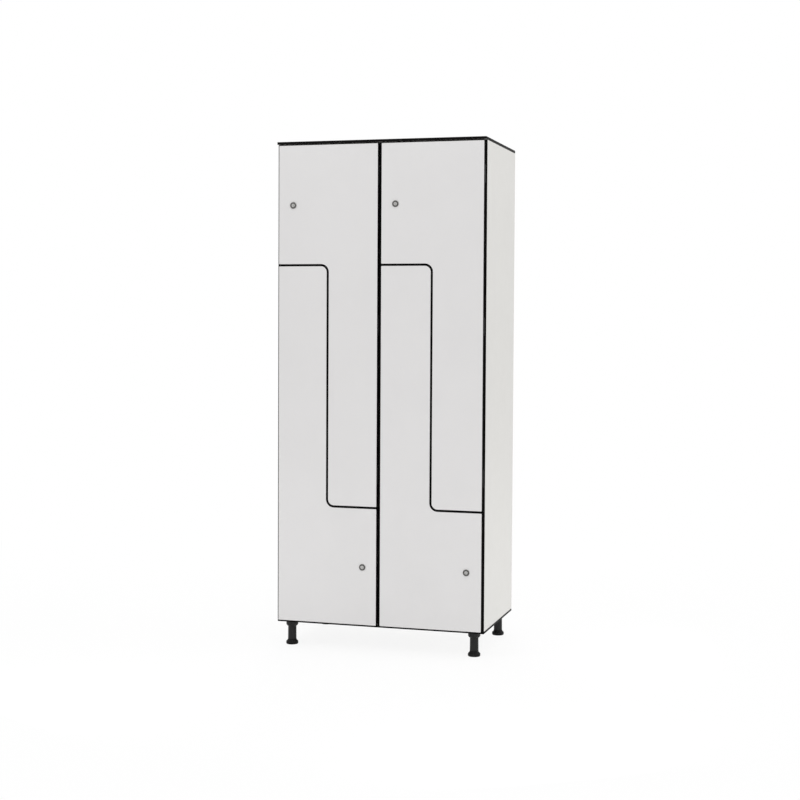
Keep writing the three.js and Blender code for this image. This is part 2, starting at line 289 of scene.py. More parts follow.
class Door:
    """A door of one column, with the planes and places that its parts are set out from."""

    def __init__(self, side, level):
        self.name = f"{side}_{level}"
        self.body = f"door_{self.name}"
        self.lock_body = f"lock_{self.name}"
        self.upper = level == "upper"
        self.inboard = -1 if self.upper else 1
        self.low, self.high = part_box(self.body)
        self.gap_x = middle(f"{side}_inner_divider").x
        self.upper_gap_z = middle(f"{side}_upper_shelf").z
        self.lower_gap_z = middle(f"{side}_lower_shelf").z
        self.axis = joint_place(f"door_{self.name}_hinge")
        self.lock = joint_place(f"lock_{self.name}_turn")

        # The upper door locks to the panel on its left and hangs on the one on its right
        panels = ["centre_partition", f"side_panel_{side}"]
        if side == "left":
            panels.reverse()
        faces = [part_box(panels[0])[1].x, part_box(panels[1])[0].x]
        if not self.upper:
            panels.reverse()
            faces.reverse()
        self.lock_panel = panels[0]
        self.lock_face, self.hinge_face = faces

    def hinge_places(self):
        """The middle of each hinge, on the hinge axis."""
        heights = [middle(f"hinge_{self.name}_{i}_frame_leaf").z for i in HINGES]
        return [Vector((self.axis.x, self.axis.y, z)) for z in heights]


doors = [Door(side, level) for side in SIDES for level in LEVELS]


# Outlines and matrices
def rounded(corners, steps=ARC_STEPS):
    """The points of an outline whose corners, each (across, up, radius), are rounded off."""
    points = []
    for i, (across, up, radius) in enumerate(corners):
        corner = Vector((across, up))
        if not radius:
            points.append(corner)
            continue
        before = (Vector(corners[i - 1][:2]) - corner).normalized()
        after = (Vector(corners[(i + 1) % len(corners)][:2]) - corner).normalized()
        half = before.angle(after) / 2
        centre = corner + (before + after).normalized() * radius / math.sin(half)
        start = corner + before * radius / math.tan(half) - centre
        turn = math.copysign(math.pi - 2 * half, -before.cross(after))
        for step in range(steps + 1):
            points.append(centre + Matrix.Rotation(turn * step / steps, 2) @ start)
    return points


def rectangle(low, high, radius, steps=ARC_STEPS):
    corners = [(low[0], low[1]), (high[0], low[1]), (high[0], high[1]), (low[0], high[1])]
    return rounded([(across, up, radius) for across, up in corners], steps)


def centred(width, height, radius):
    """A small rectangle round the origin."""
    return rectangle((-width / 2, -height / 2), (width / 2, height / 2), radius, EDGE_STEPS)


def laid_along(axis):
    """The matrix that lays (across, up, height) along the two other axes and this one."""
    order = [i for i in (X, Y, Z) if i != axis] + [axis]
    rows = [[float(order[column] == row) for column in range(3)] for row in range(3)]
    return Matrix(rows).to_4x4()


def facing(point, direction):
    """The matrix that moves the origin to a point and turns +Z to a direction."""
    turn = Vector(direction).to_track_quat("Z", "Y").to_matrix().to_4x4()
    return Matrix.Translation(point) @ turn


# Closed meshes
def mesh_of(bm):
    bmesh.ops.recalc_face_normals(bm, faces=bm.faces)
    mesh = bpy.data.meshes.new("shape")
    bm.to_mesh(mesh)
    bm.free()
    return mesh


def prism(outline, low, high, place=Matrix.Identity(4), arris=0.0):
    """A solid between two heights on an outline of (across, up) points, with its faces' edges broken."""
    bm = bmesh.new()
    rings = [[bm.verts.new((*point, height)) for point in outline] for height in (low, high)]
    caps = [bm.faces.new(ring) for ring in rings]
    for i in range(len(outline)):
        bm.faces.new((rings[0][i - 1], rings[0][i], rings[1][i], rings[1][i - 1]))
    if arris:
        # The bevel needs faces that all point out
        bmesh.ops.recalc_face_normals(bm, faces=bm.faces)
        edges = [edge for cap in caps for edge in cap.edges]
        bmesh.ops.bevel(bm, geom=edges, offset=arris, segments=1, profile=0.5, affect="EDGES")
    bmesh.ops.transform(bm, matrix=place, verts=bm.verts)
    return mesh_of(bm)


def turned(profile, sides, place=Matrix.Identity(4), closed=False):
    """A solid turned round +Z from (radius, height) points. A radius may be a function of the angle.

    A closed profile ends where it starts, round a bore, and any other has a flat cap at each end.
    """
    bm = bmesh.new()
    rings = []
    for radius, height in profile:
        ring = []
        for i in range(sides):
            angle = TURN * i / sides
            reach = radius(angle) if callable(radius) else radius
            ring.append(bm.verts.new((reach * math.cos(angle), reach * math.sin(angle), height)))
        rings.append(ring)
    if closed:
        rings.append(rings[0])
    else:
        bm.faces.new(rings[0])
        bm.faces.new(rings[-1])
    for lower, upper in zip(rings, rings[1:]):
        for i in range(sides):
            bm.faces.new((lower[i - 1], lower[i], upper[i], upper[i - 1]))
    bmesh.ops.transform(bm, matrix=place, verts=bm.verts)
    return mesh_of(bm)


def disc(radius, low, high, edge, sides, bore=0.0):
    """A disc or a pin between two heights, with softened rims, and solid unless it has a bore."""
    inner = bore or radius * CAP_SHARE
    corners = [(inner, low, 0), (radius, low, edge), (radius, high, edge), (inner, high, 0)]
    return turned(rounded(corners, EDGE_STEPS), sides, closed=bool(bore))


def thread(radius, depth, pitch, low, high):
    """The profile points of a screw thread between two heights, for turned()."""

    def ring(height):
        def reach(angle):
            share = (height / pitch - angle / TURN) % 1
            return radius - depth * abs(2 * share - 1)

        return reach, height

    count = round((high - low) / pitch * THREAD_STEPS)
    return [ring(between(low, high, i / count)) for i in range(count + 1)]


def gathered(meshes):
    """Several separate solids as one mesh."""
    bm = bmesh.new()
    for mesh in meshes:
        bm.from_mesh(mesh)
    return mesh_of(bm)


def boolean(mesh, tool, operation):
    subject = bpy.data.objects.new("subject", mesh)
    other = bpy.data.objects.new("tool", tool)
    for shape in (subject, other):
        bpy.context.scene.collection.objects.link(shape)
    modifier = subject.modifiers.new("boolean", "BOOLEAN")
    modifier.operation = operation
    modifier.solver = "EXACT"
    modifier.object = other
    graph = bpy.context.evaluated_depsgraph_get()
    result = bpy.data.meshes.new_from_object(subject.evaluated_get(graph))
    for shape in (subject, other):
        bpy.data.objects.remove(shape)
    return result


def cut(mesh, tools):
    """The mesh without what the tools, which lie apart from each other, take away."""
    return boolean(mesh, gathered(tools), "DIFFERENCE")


def joined(meshes):
    whole = meshes[0]
    for mesh in meshes[1:]:
        whole = boolean(whole, mesh, "UNION")
    return whole


def placed(mesh, place):
    """A copy of the mesh, moved by a matrix."""
    copy = mesh.copy()
    copy.transform(place)
    return copy


def add_piece(name, mesh, body, materials, replaces=None):
    """Shows a mesh as a piece that rides on a body, and may stand for a CAD node."""
    for material in materials:
        mesh.materials.append(material)
    mesh.shade_smooth()
    mesh.set_sharp_from_angle(angle=SHARP_ANGLE)
    piece = bpy.data.objects.new(name, mesh)
    bpy.context.scene.collection.objects.link(piece)
    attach(piece, body)
    if replaces:
        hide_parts(replaces)


# Materials
class Finish:
    """A material of nodes, whose textures are laid out in metres on the object."""

    def __init__(self, name, metallic=0.0, specular=0.5):
        self.material = bpy.data.materials.new(name)
        self.material.use_nodes = True
        self.nodes = self.material.node_tree.nodes
        self.shader = self.nodes["Principled BSDF"]
        self.shader.inputs["Metallic"].default_value = metallic
        self.shader.inputs["Specular IOR Level"].default_value = specular
        self.places = self.nodes.new("ShaderNodeTexCoord").outputs["Object"]

    def link(self, output, socket):
        self.material.node_tree.links.new(output, socket)

    def scaled(self, grain):
        """The object's coordinates, divided by the size of a grain or by its three sizes."""
        sizes = (grain, grain, grain) if isinstance(grain, float) else grain
        mapping = self.nodes.new("ShaderNodeMapping")
        mapping.inputs["Scale"].default_value = [1 / size for size in sizes]
        self.link(self.places, mapping.inputs["Vector"])
        return mapping.outputs["Vector"]

    def noise(self, grain, detail=2.0, distortion=0.0):
        """A noise with grains of about that size, or of those three sizes."""
        texture = self.nodes.new("ShaderNodeTexNoise")
        texture.inputs["Scale"].default_value = 1.0
        texture.inputs["Detail"].default_value = detail
        texture.inputs["Distortion"].default_value = distortion
        self.link(self.scaled(grain), texture.inputs["Vector"])
        return texture.outputs["Fac"]

    def cells(self, grain):
        """A value of its own for each crystal-like cell."""
        texture = self.nodes.new("ShaderNodeTexVoronoi")
        texture.inputs["Scale"].default_value = 1.0
        self.link(self.scaled(grain), texture.inputs["Vector"])
        separate = self.nodes.new("ShaderNodeSeparateColor")
        self.link(texture.outputs["Color"], separate.inputs["Color"])
        return separate.outputs["Red"]

    def ranged(self, value, low=0.0, high=1.0, start=0.3, end=0.7):
        """The value from start to end, spread from low to high."""
        node = self.nodes.new("ShaderNodeMapRange")
        node.inputs["From Min"].default_value = start
        node.inputs["From Max"].default_value = end
        node.inputs["To Min"].default_value = low
        node.inputs["To Max"].default_value = high
        self.link(value, node.inputs["Value"])
        return node.outputs["Result"]

    def summed(self, first, second):
        node = self.nodes.new("ShaderNodeMath")
        node.operation = "ADD"
        self.link(first, node.inputs[0])
        self.link(second, node.inputs[1])
        return node.outputs["Value"]

    def colour(self, value, low, high):
        """The base colour, from one colour to another as the value goes from 0 to 1."""
        ramp = self.nodes.new("ShaderNodeValToRGB")
        ramp.color_ramp.elements[0].color = (*low, 1)
        ramp.color_ramp.elements[1].color = (*high, 1)
        self.link(value, ramp.inputs["Fac"])
        self.link(ramp.outputs["Color"], self.shader.inputs["Base Color"])

    def roughness(self, value, low, high):
        self.link(self.ranged(value, low, high), self.shader.inputs["Roughness"])

    def relief(self, value, height, strength):
        """A bump of that height in metres, on top of any that is there."""
        bump = self.nodes.new("ShaderNodeBump")
        bump.inputs["Distance"].default_value = height
        bump.inputs["Strength"].default_value = strength
        self.link(value, bump.inputs["Height"])
        normal = self.shader.inputs["Normal"]
        if normal.is_linked:
            self.link(normal.links[0].from_socket, bump.inputs["Normal"])
        self.link(bump.outputs["Normal"], normal)


def toned(tone, share):
    return [part * share for part in tone]


def laminate(name, tone):
    """Pale melamine face with a fine pearl texture and very faint clouds."""
    finish = Finish(name, specular=0.45)
    cloud = finish.noise(grain=160 * MM, detail=3)
    speck = finish.noise(grain=1.1 * MM)
    sheen = finish.noise(grain=45 * MM, detail=4)
    pearl = finish.noise(grain=0.8 * MM, detail=1)
    wave = finish.noise(grain=9 * MM, detail=1)
    clouds = finish.ranged(cloud, high=CLOUD_SHARE)
    specks = finish.ranged(speck, high=1 - CLOUD_SHARE)
    finish.colour(finish.summed(clouds, specks), toned(tone, DULL_SHARE), toned(tone, PALE_SHARE))
    finish.roughness(sheen, low=0.40, high=0.48)
    finish.relief(pearl, height=0.03 * MM, strength=0.25)
    finish.relief(wave, height=0.02 * MM, strength=0.2)
    return finish.material


def core(name, axis):
    """Black compact core, whose pressed paper layers show as fine lines across the sheet's thickness."""
    finish = Finish(name, specular=0.05)
    grain = [LAYER_LENGTH] * 3
    grain[axis] = LAYER_THICKNESS
    layers = finish.noise(grain, detail=3)
    finish.colour(finish.ranged(layers), *CORE_TONES)
    finish.roughness(finish.noise(grain=6 * MM, detail=3), low=0.42, high=0.58)
    finish.relief(layers, height=0.03 * MM, strength=0.35)
    return finish.material


def coated_steel():
    """Black powder coat with a fine orange peel."""
    finish = Finish("black_coated_steel", specular=0.45)
    peel = finish.noise(grain=0.9 * MM, detail=1)
    dust = finish.noise(grain=5 * MM, detail=4)
    finish.colour(finish.ranged(dust), *COAT_TONES)
    finish.roughness(dust, low=0.34, high=0.46)
    finish.relief(peel, height=0.05 * MM, strength=0.4)
    return finish.material


def nickel(name, tone):
    """Satin nickel plate with fine turning marks and a little tarnish."""
    finish = Finish(name, metallic=1.0)
    tarnish = finish.noise(grain=3.5 * MM, detail=4)
    marks = finish.noise(grain=(0.25 * MM, 6 * MM, 0.25 * MM))
    finish.colour(finish.ranged(tarnish), toned(tone, TARNISH_SHARE), tone)
    finish.roughness(finish.noise(grain=1.6 * MM, detail=4), low=0.2, high=0.34)
    finish.relief(marks, height=0.01 * MM, strength=0.25)
    return finish.material


def zinc():
    """Zinc plate over rolled steel, with its faint cloudy crystals."""
    finish = Finish("zinc_plated_steel", metallic=1.0)
    cloud = finish.noise(grain=4 * MM, detail=4, distortion=0.6)
    crystal = finish.cells(grain=1.3 * MM)
    rolling = finish.noise(grain=(0.3 * MM, 0.3 * MM, 7 * MM))
    clouds = finish.ranged(cloud, high=CLOUD_SHARE)
    crystals = finish.ranged(crystal, high=1 - CLOUD_SHARE, start=0.0, end=1.0)
    finish.colour(finish.summed(clouds, crystals), *ZINC_TONES)
    finish.roughness(finish.noise(grain=2.2 * MM, detail=4), low=0.26, high=0.42)
    finish.relief(rolling, height=0.015 * MM, strength=0.3)
    return finish.material


def stainless():
    """Bare stainless screws, brushed by the heading tool."""
    finish = Finish("stainless_steel", metallic=1.0)
    smear = finish.noise(grain=1.2 * MM, detail=4)
    finish.colour(finish.ranged(smear), *STAINLESS_TONES)
    finish.roughness(smear, low=0.22, high=0.36)
    finish.relief(finish.noise(grain=0.25 * MM), height=0.01 * MM, strength=0.3)
    return finish.material


def moulded_plastic(name, specular):
    """Black moulded plastic with a spark-eroded grain and faint flow marks down its length."""
    finish = Finish(name, specular=specular)
    flow = finish.noise(grain=(5 * MM, 5 * MM, 60 * MM), detail=3)
    finish.colour(finish.ranged(flow), *PLASTIC_TONES)
    finish.roughness(finish.noise(grain=7 * MM, detail=4), low=0.42, high=0.56)
    finish.relief(finish.noise(grain=0.45 * MM, detail=2), height=0.04 * MM, strength=0.35)
    return finish.material


panel_face = laminate("panel_laminate_face", PANEL_TONE)
door_face = laminate("door_laminate_face", DOOR_TONE)
cores = [core(f"laminate_core_{letter}", axis) for axis, letter in enumerate("xyz")]
hinge_steel = coated_steel()
# One nickel in two tones: the bezel's dark tone is painted reflection and shade, the plug's pale tone a
# painted highlight
bezel_nickel_painted_dark = nickel("bezel_nickel_painted_dark", BEZEL_PAINTED_DARK_TONE)
plug_nickel = nickel("plug_nickel", PLUG_PAINTED_HIGHLIGHT_TONE)
zinc_steel = zinc()
screw_steel = stainless()
leg_plastics = {
    "body": moulded_plastic("hard_black_plastic", specular=0.25),
    # The feet take a copy of the same black plastic with less specular, darker as painted shade near the
    # floor
    "foot": moulded_plastic("foot_plastic_painted_shade", specular=0.1),
}


# Screws, with the sheet's surface at height 0 and +Z out of it
def recess(size):
    """The six-lobed ring of a recess, for turned(). A size of 1 suits a head of radius 1."""
    return lambda angle: size * (RECESS_SHARE + LOBE_SHARE * math.cos(LOBES * angle))


def screw_shape(head):
    """A countersunk screw whose head has that radius, sunk just under the surface."""
    edge = head * LOBE_SHARE
    shank = head * SHANK_SHARE
    top = -SCREW_SINK
    return turned(
        [
            (recess(head * RECESS_FLOOR_SHARE), top - head * RECESS_DEPTH_SHARE),
            (recess(head), top - edge),
            (recess(head * RECESS_MOUTH_SHARE), top),
            (head - edge, top),
            (head, top - edge),
            (shank, top - head * HEAD_DEPTH_SHARE - edge),
            (shank, -head * SHANK_END_SHARE),
        ],
        SCREW_SIDES,
    )


def countersink(head):
    """The hole for the head of such a screw."""
    mouth = head + SCREW_CLEARANCE
    shank = head * SHANK_SHARE + SCREW_CLEARANCE
    return turned(
        [
            (mouth, OVERRUN),
            (mouth, -SCREW_SINK - head * LOBE_SHARE),
            (shank, -SCREW_SINK - head * (HEAD_DEPTH_SHARE + LOBE_SHARE)),
            (shank, -head),
        ],
        SCREW_SIDES,
    )


def countersinks(head, places):
    hole = countersink(head)
    return [placed(hole, place) for place in places]


def add_screws(name, places, head, body):
    shape = screw_shape(head)
    mesh = gathered([placed(shape, place) for place in places])
    add_piece(name, mesh, body, [screw_steel])


# Sheets: pale on their two faces, black wherever their core shows
def paint_sheet(mesh, axis, low, high, face):
    mesh.materials.append(face)
    mesh.materials.append(cores[axis])
    for polygon in mesh.polygons:
        flat = abs(polygon.normal[axis]) > FLAT_SHARE
        off_plane = min(abs(polygon.center[axis] - plane) for plane in (low, high))
        polygon.material_index = 0 if flat and off_plane < HAIR else 1


def add_panel(node, tools=()):
    """A carcass panel with broken edges, and whatever the tools cut into it."""
    low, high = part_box(node)
    axis = min((X, Y, Z), key=lambda i: high[i] - low[i])
    across, up = [i for i in (X, Y, Z) if i != axis]
    outline = rectangle((low[across], low[up]), (high[across], high[up]), SHEET_CORNER, EDGE_STEPS)
    mesh = prism(outline, low[axis], high[axis], laid_along(axis), PANEL_ARRIS)
    if tools:
        mesh = cut(mesh, tools)
    paint_sheet(mesh, axis, low[axis], high[axis], panel_face)
    add_piece(f"{node}_laminate", mesh, body_of_node[node], [], node)


def cam_slot(door):
    """The milled slot that a cam's tip turns into, with ends as round as the cutter."""
    front = door.lock.y + SLOT_FRONT
    back = door.lock.y + SLOT_BACK
    round_end = (back - front) / 2 - HAIR
    outline = rectangle((front, door.lock.z - SLOT_HALF), (back, door.lock.z + SLOT_HALF), round_end)
    ends = sorted((door.lock_face - door.inboard * OVERRUN, door.lock_face + door.inboard * SLOT_DEPTH))
    return prism(outline, *ends, laid_along(X))


def cam_slots(panel):
    return [cam_slot(door) for door in doors if door.lock_panel == panel]


def upright_lines():
    """The middle of each standing outer panel and of the partition, from the left."""
    return [middle(node).x for node in ("side_panel_left", "centre_partition", "side_panel_right")]


def level_screws(z, direction):
    """Screws through the top or the bottom into the standing panels' ends."""
    low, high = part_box("centre_partition")
    depths = [between(low.y, high.y, share) for share in DEPTH_SHARES]
    return [facing((x, y, z), direction) for x in upright_lines() for y in depths]


def back_screws():
    """Screws through the back into the partition, the shelves and the inner dividers."""
    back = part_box("back_panel")[1].y
    low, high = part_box("centre_partition")
    partition = middle("centre_partition").x
    points = [(partition, between(low.z, high.z, share)) for share in PARTITION_SHARES]
    for side in SIDES:
        for level in LEVELS:
            shelf = f"{side}_{level}_shelf"
            low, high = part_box(shelf)
            points += [(between(low.x, high.x, share), middle(shelf).z) for share in SHELF_SHARES]
        divider = f"{side}_inner_divider"
        low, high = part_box(divider)
        points += [(middle(divider).x, between(low.z, high.z, share)) for share in DIVIDER_SHARES]
    return [facing((x, back, z), (0, 1, 0)) for x, z in points]


def foot_screws():
    """Screws down through the bottom into the legs."""
    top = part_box("bottom_panel")[1].z
    centres = [middle(f"leg_{row}_{side}_body") for row in ROWS for side in SIDES]
    return [facing((centre.x, centre.y, top), (0, 0, 1)) for centre in centres]


def add_carcass():
    top_screws = level_screws(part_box("top_panel")[1].z, (0, 0, 1))
    bottom_screws = level_screws(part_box("bottom_panel")[0].z, (0, 0, -1))
    rear_screws = back_screws()
    leg_screws = foot_screws()
    add_panel("top_panel", countersinks(SHEET_SCREW, top_screws))
    bottom_holes = countersinks(SHEET_SCREW, bottom_screws) + countersinks(LEG_SCREW, leg_screws)
    add_panel("bottom_panel", bottom_holes)
    add_panel("back_panel", countersinks(SHEET_SCREW, rear_screws))
    for node in ("side_panel_left", "side_panel_right", "centre_partition"):
        add_panel(node, cam_slots(node))
    for side in SIDES:
        for part in ("upper_shelf", "lower_shelf", "inner_divider"):
            add_panel(f"{side}_{part}")
    add_screws("top_panel_screws", top_screws, SHEET_SCREW, "carcass")
    add_screws("bottom_panel_screws", bottom_screws, SHEET_SCREW, "carcass")
    add_screws("back_panel_screws", rear_screws, SHEET_SCREW, "carcass")
    add_screws("leg_screws", leg_screws, LEG_SCREW, "carcass")


# Doors
def door_outline(door):
    """The upper door is wide at the top, and the lower one is the same shape turned half round.

    Where they interlock, a corner and the fillet round it have one centre, so the gap keeps its width.
    """
    half = DOOR_GAP / 2
    low, high = door.low, door.high
    if door.upper:
        step_x = door.gap_x + half
        step_z = door.upper_gap_z + half
        foot_z = door.lower_gap_z + half
        return rounded([
            (low.x, high.z, DOOR_CORNER),
            (low.x, step_z, DOOR_CORNER),
            (step_x, step_z, GAP_FILLET),
            (step_x, foot_z, GAP_CORNER),
            (high.x, foot_z, DOOR_CORNER),
            (high.x, high.z, DOOR_CORNER),
        ])
    step_x = door.gap_x - half
    step_z = door.lower_gap_z - half
    head_z = door.upper_gap_z - half
    return rounded([
        (low.x, low.z, DOOR_CORNER),
        (high.x, low.z, DOOR_CORNER),
        (high.x, step_z, DOOR_CORNER),
        (step_x, step_z, GAP_FILLET),
        (step_x, head_z, GAP_CORNER),
        (low.x, head_z, DOOR_CORNER),
    ])


def hinge_pocket(door, place):
    """The pocket for a hinge's knuckles, open at the door's edge and at its back."""
    edge = door.low.x if door.inboard > 0 else door.high.x
    sides = sorted((edge - door.inboard * POCKET_OVERRUN, place.x + door.inboard * POCKET_SIDE))
    low = (sides[0], place.z - POCKET_HALF)
    high = (sides[1], place.z + POCKET_HALF)
    outline = rectangle(low, high, POCKET_CORNER, EDGE_STEPS)
    return prism(outline, door.low.y + POCKET_SKIN, door.high.y + OVERRUN, laid_along(Y))


def add_door(door):
    slab = prism(door_outline(door), door.low.y, door.high.y, laid_along(Y), DOOR_ARRIS)
    tools = [hinge_pocket(door, place) for place in door.hinge_places()]
    depth = door.high.y - door.low.y
    hole = [(LOCK_HOLE, -OVERRUN), (LOCK_HOLE, depth + OVERRUN)]
    tools.append(turned(hole, LOCK_SIDES, facing(door.lock, (0, 1, 0))))
    mesh = cut(slab, tools)
    paint_sheet(mesh, Y, door.low.y, door.high.y, door_face)
    add_piece(f"{door.body}_laminate", mesh, door.body, [], door.body)


# Hinges, with the axis along Z through the origin and the door to the inboard side
def knuckle(low, high, bore=0.0):
    return disc(KNUCKLE_RADIUS, low, high, KNUCKLE_EDGE, HINGE_SIDES, bore)


def hinge_pin():
    return disc(PIN_RADIUS, -HINGE_HALF, HINGE_HALF, PIN_DOME, HINGE_SIDES)


def frame_leaf_planes(door):
    """Where the frame leaf's sheet starts and ends, inboard of the axis."""
    face = (door.hinge_face - door.axis.x) * door.inboard
    outer = face + FRAME_LEAF_SEAT
    return outer, outer + FRAME_LEAF_SHEET


def frame_leaf_screws(door):
    surface = door.inboard * frame_leaf_planes(door)[1]
    return [
        facing(
            (surface, between(FRAME_LEAF_START, FRAME_LEAF_END, reach), HINGE_HALF * rise),
            (door.inboard, 0, 0),
        )
        for reach, rise in LEAF_SCREW_SHARES
    ]


def frame_leaf_shape(door):
    """The middle knuckle, the pin and the plate that lies on the panel's face."""
    planes = sorted(door.inboard * plane for plane in frame_leaf_planes(door))
    outline = rounded([
        (0, -KNUCKLE_HALF, 0),
        (FRAME_LEAF_START, -KNUCKLE_HALF, 0),
        (FRAME_LEAF_START, -HINGE_HALF, KNUCKLE_EDGE),
        (FRAME_LEAF_END, -HINGE_HALF, LEAF_CORNER),
        (FRAME_LEAF_END, HINGE_HALF, LEAF_CORNER),
        (FRAME_LEAF_START, HINGE_HALF, KNUCKLE_EDGE),
        (FRAME_LEAF_START, KNUCKLE_HALF, 0),
        (0, KNUCKLE_HALF, 0),
    ])
    plate = prism(outline, *planes, laid_along(X), LEAF_EDGE)
    plate = cut(plate, countersinks(LEAF_SCREW, frame_leaf_screws(door)))
    return joined([plate, knuckle(-KNUCKLE_HALF, KNUCKLE_HALF), hinge_pin()])


def door_leaf_screws(door):
    return [
        facing(
            (
                door.inboard * between(DOOR_LEAF_INNER, DOOR_LEAF_REACH, reach),
                DOOR_LEAF_BACK,
                HINGE_HALF * rise,
            ),
            (0, 1, 0),
        )
        for reach, rise in LEAF_SCREW_SHARES
    ]


def door_leaf_shape(door):
    """The two end knuckles and the plate that lies on the door's back."""
    inner, reach = sorted((door.inboard * DOOR_LEAF_INNER, door.inboard * DOOR_LEAF_REACH))
    free_corners = (LEAF_CORNER, KNUCKLE_EDGE)
    low_corner, high_corner = free_corners if door.inboard < 0 else free_corners[::-1]
    outline = rounded([
        (inner, -HINGE_HALF, low_corner),
        (reach, -HINGE_HALF, high_corner),
        (reach, HINGE_HALF, high_corner),
        (inner, HINGE_HALF, low_corner),
    ])
    plate = prism(outline, DOOR_LEAF_FRONT, DOOR_LEAF_BACK, laid_along(Y), LEAF_EDGE)
    shapes = [cut(plate, countersinks(LEAF_SCREW, door_leaf_screws(door)))]
    sides = sorted((door.inboard * DOOR_LEAF_INNER, door.inboard * KNUCKLE_RADIUS))
    back = DOOR_LEAF_BACK - LEAF_EDGE
    neck = rectangle((sides[0], 0), (sides[1], back), 0)
    for low, high in ((KNUCKLE_START, HINGE_HALF), (-HINGE_HALF, -KNUCKLE_START)):
        shapes.append(prism(neck, low + LEAF_EDGE, high - LEAF_EDGE))
        shapes.append(knuckle(low, high, PIN_BORE))
    return joined(shapes)


def add_hinges(door):
    bodies = {"frame": "carcass", "door": door.body}
    shapes = {"frame": frame_leaf_shape(door), "door": door_leaf_shape(door)}
    screws = {"frame": frame_leaf_screws(door), "door": door_leaf_screws(door)}
    for i, point in zip(HINGES, door.hinge_places()):
        place = Matrix.Translation(point)
        name = f"hinge_{door.name}_{i}"
        for leaf, body in bodies.items():
            node = f"{name}_{leaf}_leaf"
            shape = placed(shapes[leaf], place)
            add_piece(f"{node}_steel", shape, body, [hinge_steel], node)
        for leaf, body in bodies.items():
            places = [place @ screw for screw in screws[leaf]]
            add_screws(f"{name}_{leaf}_screws", places, LEAF_SCREW, body)


# Locks, with the axis along Z, the door's face at height 0 and the inside towards +Z
def housing_shape():
    """The bezel in front of the door and the threaded barrel through it."""
    front = rounded(
        [
            (PLUG_BORE, BARREL_END, 0),
            (PLUG_BORE, BEZEL_FRONT + BEZEL_STEP, PLUG_EDGE),
            (BEZEL_LAND, BEZEL_FRONT + BEZEL_STEP, 0),
            (BEZEL_LAND + BEZEL_STEP, BEZEL_FRONT, 0),
            (BEZEL_RADIUS, BEZEL_FRONT, BEZEL_EDGE),
            (BEZEL_RADIUS, BEZEL_SEAT, 0),
            (BARREL_RADIUS - BARREL_THREAD, BEZEL_SEAT, 0),
        ],
        ARC_STEPS,
    )
    screwed = thread(BARREL_RADIUS, BARREL_THREAD, BARREL_PITCH, 0, BARREL_END - BARREL_EDGE)
    end = [(BARREL_RADIUS - BARREL_THREAD - BARREL_EDGE, BARREL_END)]
    return turned([*map(tuple, front), *screwed, *end], LOCK_SIDES, closed=True)


def keyway(margin, corner, depth):
    """A cutter for the keyway, wider by a margin all round."""
    outline = centred(KEYWAY_WIDTH + margin * 2, KEYWAY_HEIGHT + margin * 2, corner)
    return prism(outline, PLUG_FRONT - OVERRUN, PLUG_FRONT + depth)


def plug_shape():
    """The plug with its keyway in front and the square tenon for the cam behind."""
    plug = disc(PLUG_RADIUS, PLUG_FRONT, PLUG_END, PLUG_EDGE, LOCK_SIDES)
    square = centred(TENON_WIDTH, TENON_WIDTH, TENON_EDGE)
    tenon = prism(square, PLUG_END - OVERRUN, TENON_END, arris=TENON_EDGE / 2)
    mouth = keyway(KEYWAY_MOUTH, KEYWAY_WIDTH / 2, KEYWAY_MOUTH)
    slot = keyway(0, KEYWAY_WIDTH / 4, KEYWAY_DEPTH)
    return cut(cut(joined([plug, tenon]), [mouth]), [slot])


def cam_shape():
    """The flat cam hanging from its square hole, along the scene's axes, with the lock at the origin."""
    half = CAM_WIDTH / 2
    outline = rectangle((-half, -CAM_REACH), (half, half), half - HAIR, CAM_STEPS)
    plate = prism(outline, CAM_FRONT, CAM_BACK, laid_along(Y), CAM_EDGE)
    square = centred(CAM_HOLE, CAM_HOLE, TENON_EDGE / 2)
    return cut(plate, [prism(square, CAM_FRONT - OVERRUN, CAM_BACK + OVERRUN, laid_along(Y))])


def hexagon(angle):
    """How far a six-sided nut reaches at an angle, with flats that lie NUT_FLAT from its axis."""
    side = TURN / NUT_SIDES
    return NUT_FLAT / math.cos((angle + side / 2) % side - side / 2)


def chamfered(angle):
    """How far the nut's ends reach, where their corners are turned off."""
    return min(hexagon(angle), NUT_FACE)


def nut_shape():
    """The washer and the thin six-sided nut that hold the housing in the door."""
    washer = disc(WASHER_RADIUS, WASHER_FRONT, WASHER_BACK, WASHER_EDGE, LOCK_SIDES, BARREL_RADIUS)
    nut = turned(
        [
            (BARREL_RADIUS, WASHER_BACK),
            (chamfered, WASHER_BACK),
            (hexagon, WASHER_BACK + NUT_CHAMFER),
            (hexagon, NUT_BACK - NUT_CHAMFER),
            (chamfered, NUT_BACK),
            (BARREL_RADIUS + BARREL_THREAD, NUT_BACK),
            (BARREL_RADIUS, NUT_BACK - BARREL_THREAD),
        ],
        LOCK_SIDES,
        closed=True,
    )
    return gathered([washer, nut])


def tail_screw_shape():
    """The washer and the round-headed screw on the plug's tail."""
    washer_back = TENON_END + TAIL_WASHER_SHEET
    head_back = washer_back + TAIL_HEAD_HEIGHT
    washer = disc(TAIL_WASHER_RADIUS, TENON_END, washer_back, WASHER_EDGE, SCREW_SIDES)
    head = rounded(
        [
            (TAIL_HEAD_RADIUS * CAP_SHARE, washer_back, 0),
            (TAIL_HEAD_RADIUS, washer_back, 0),
            (TAIL_HEAD_RADIUS, head_back, TAIL_HEAD_EDGE),
            (TAIL_HEAD_RADIUS * TAIL_RIM_SHARE, head_back, 0),
        ],
        EDGE_STEPS,
    )
    socket = [
        (recess(TAIL_HEAD_RADIUS), head_back),
        (recess(TAIL_HEAD_RADIUS * RECESS_FLOOR_SHARE), head_back - TAIL_HEAD_HEIGHT / 2),
    ]
    return gathered([washer, turned([*map(tuple, head), *socket], SCREW_SIDES)])


